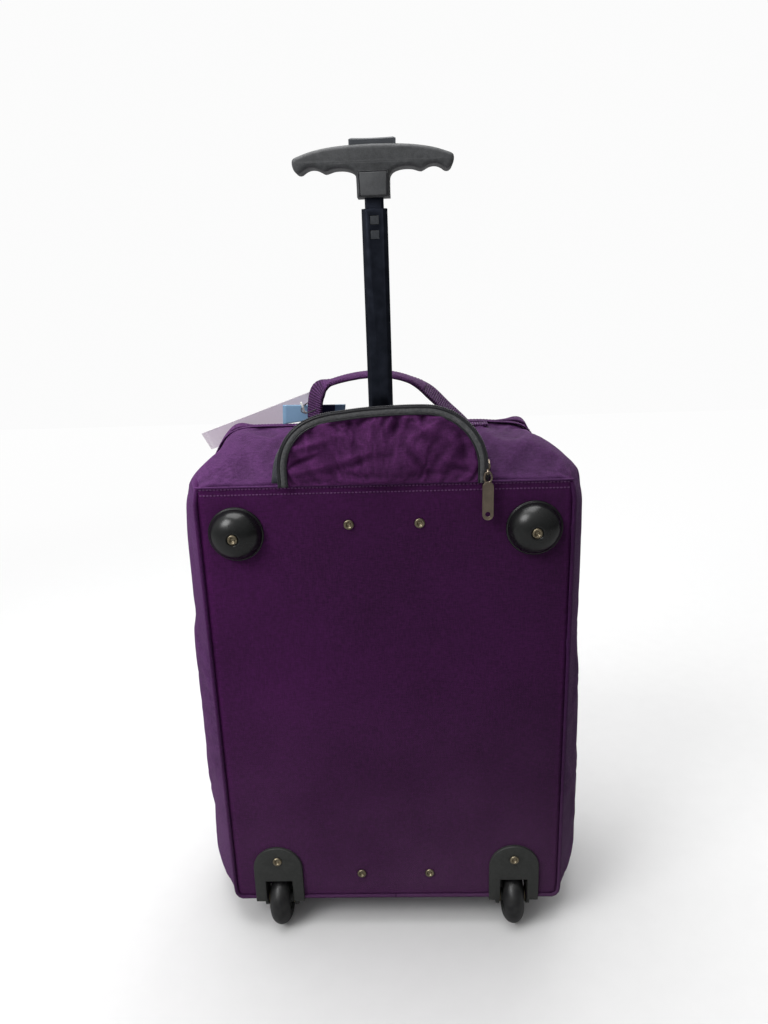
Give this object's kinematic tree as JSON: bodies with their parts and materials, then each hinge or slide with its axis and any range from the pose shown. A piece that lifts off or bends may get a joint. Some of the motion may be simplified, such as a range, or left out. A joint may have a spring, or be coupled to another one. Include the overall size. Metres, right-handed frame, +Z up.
{
  "type": "suitcase",
  "caption": "Softside upright suitcase with rear wheels, a stiff riveted back, a zipped lid with pockets, a carry handle and a telescoping T-grip pole.",
  "frame": {"origin": "middle of the bounding box, on the ground under the wheels and stand feet", "axes": "+Z up, +Y out of the side with the front pockets, +X to the right seen from the trolley side; the wheels and the pole are on the -Y side"},
  "size_m": [0.4, 0.2101, 0.7723],
  "materials": {
    "panel_fabric": "plain-weave polyester, dark purple",
    "body_fabric": "plain-weave polyester, purple",
    "lining_fabric": "matt black lining",
    "board": "sheet board",
    "grey_tape": "woven zip tape",
    "purple_tape": "woven zip tape with moulded teeth",
    "webbing": "ribbed webbing",
    "black_plastic": "polished moulding",
    "housing_plastic": "textured moulding",
    "grip_plastic": "textured moulding",
    "pole_metal": "dark satin coating",
    "bright_metal": "plated",
    "wheel_rubber": "moulded tread",
    "card": "coated card",
    "booklet_card": "coated card"
  },
  "bodies": {
    "case": {"bag_base": "body_fabric", "back_panel": "panel_fabric", "back_board": "board", "inner_lining": "lining_fabric", "back_piping_left": "body_fabric", "back_piping_right": "body_fabric", "main_zip_tape_back": "purple_tape", "pocket_liner": "lining_fabric", "pocket_zip_tape": "grey_tape", "outer_tube": "pole_metal", "pole_bezel": "black_plastic", "pole_bracket_top": "black_plastic", "pole_bracket_bottom": "black_plastic", "skid_dome_left": "black_plastic", "skid_dome_right": "black_plastic", "wheel_housing_left": "housing_plastic", "wheel_housing_right": "housing_plastic", "axle_left": "bright_metal", "axle_right": "bright_metal", "stand_foot_left": "housing_plastic", "stand_foot_right": "housing_plastic", "rivet_bracket_top_left": "bright_metal", "rivet_bracket_top_right": "bright_metal", "rivet_bracket_bottom_left": "bright_metal", "rivet_bracket_bottom_right": "bright_metal", "rivet_dome_left": "bright_metal", "rivet_dome_right": "bright_metal", "rivet_housing_left": "bright_metal", "rivet_housing_right": "bright_metal"},
    "lid": {"lid_shell": "body_fabric", "main_zip_tape_front": "purple_tape", "lower_pocket": "body_fabric", "upper_pocket": "body_fabric"},
    "lower_zip": {"lower_pocket_slider": "bright_metal"},
    "upper_zip": {"upper_pocket_slider": "bright_metal"},
    "main_slider_left": {"main_zip_slider_left": "bright_metal"},
    "main_slider_right": {"main_zip_slider_right": "bright_metal"},
    "main_pull_left": {"main_zip_pull_left": "bright_metal"},
    "main_pull_right": {"main_zip_pull_right": "bright_metal"},
    "pocket_slider": {"pocket_zip_slider": "bright_metal"},
    "pocket_pull": {"pocket_zip_pull": "bright_metal"},
    "flap": {"handle_flap": "body_fabric", "flap_zip_tape": "grey_tape"},
    "carry_handle": {"carry_strap": "webbing", "carry_wrap": "webbing", "tag_loop": "black_plastic", "hang_tag_card": "card", "hang_tag_booklet": "booklet_card"},
    "middle_stage": {"middle_tube": "pole_metal"},
    "lock": {"lock_leaf": "black_plastic"},
    "grip": {"inner_tube": "pole_metal", "grip_shell_back": "grip_plastic", "grip_shell_front": "grip_plastic"},
    "button": {"release_button": "grip_plastic"},
    "wheel_left": {"wheel_hub_left": "housing_plastic", "wheel_tyre_left": "wheel_rubber"},
    "wheel_right": {"wheel_hub_right": "housing_plastic", "wheel_tyre_right": "wheel_rubber"}
  },
  "joints": [
    {"name": "handle_lower_slide", "type": "slide", "parent": "case", "child": "middle_stage", "axis": [0, 0, 1], "range_m": [-0.245, 0]},
    {"name": "handle_upper_slide", "type": "slide", "parent": "middle_stage", "child": "grip", "axis": [0, 0, 1], "range_m": [-0.0075, 0.23]},
    {"name": "button_press", "type": "slide", "parent": "grip", "child": "button", "axis": [0, 0, 1], "range_m": [-0.004, 0], "stiffness_N_per_m": 600, "springref_m": 0.001},
    {"name": "lock_press", "type": "slide", "parent": "middle_stage", "child": "lock", "axis": [0, 1, 0], "range_m": [0, 0.0006]},
    {"name": "flap_hinge", "type": "hinge", "parent": "case", "child": "flap", "pos_m": [0, -0.088, 0.49], "axis": [1, 0, 0], "range_deg": [0, 100]},
    {"name": "pocket_zip_slide", "type": "slide", "parent": "case", "child": "pocket_slider", "axis": [0, 0.7071, 0.7071], "range_m": [0, 0.008]},
    {"name": "pocket_pull_swing", "type": "hinge", "parent": "pocket_slider", "child": "pocket_pull", "pos_m": [0.0965, -0.0938, 0.499], "axis": [1, 0, 0], "range_deg": [-120, 0]},
    {"name": "main_zip_left_slide", "type": "slide", "parent": "case", "child": "main_slider_left", "axis": [-1, 0, 0], "range_m": [0, 0.09]},
    {"name": "main_zip_right_slide", "type": "slide", "parent": "case", "child": "main_slider_right", "axis": [1, 0, 0], "range_m": [0, 0.09]},
    {"name": "main_pull_left_swing", "type": "hinge", "parent": "main_slider_left", "child": "main_pull_left", "pos_m": [-0.016, -0.002, 0.5337], "axis": [0, 1, 0], "range_deg": [0, 95]},
    {"name": "main_pull_right_swing", "type": "hinge", "parent": "main_slider_right", "child": "main_pull_right", "pos_m": [0.016, -0.002, 0.5337], "axis": [0, -1, 0], "range_deg": [0, 95]},
    {"name": "lid_hinge", "type": "hinge", "parent": "case", "child": "lid", "pos_m": [0, 0.083, 0.11], "axis": [1, 0, 0], "range_deg": [-90, 0]},
    {"name": "lower_pocket_zip_slide", "type": "slide", "parent": "lid", "child": "lower_zip", "axis": [1, 0, 0], "range_m": [0, 0.224]},
    {"name": "upper_pocket_zip_slide", "type": "slide", "parent": "lid", "child": "upper_zip", "axis": [1, 0, 0], "range_m": [0, 0.176]},
    {"name": "carry_handle_hinge", "type": "hinge", "parent": "case", "child": "carry_handle", "pos_m": [0, -0.015, 0.5312], "axis": [1, 0, 0], "range_deg": [-38, 40]},
    {"name": "wheel_left_spin", "type": "hinge", "parent": "case", "child": "wheel_left", "pos_m": [-0.1234, -0.0766, 0.028], "axis": [1, 0, 0], "continuous": true},
    {"name": "wheel_right_spin", "type": "hinge", "parent": "case", "child": "wheel_right", "pos_m": [0.1234, -0.0766, 0.028], "axis": [1, 0, 0], "continuous": true}
  ],
  "couplings": [
    {"joint": "lock_press", "follows": "button_press", "ratio": -0.15}
  ]
}
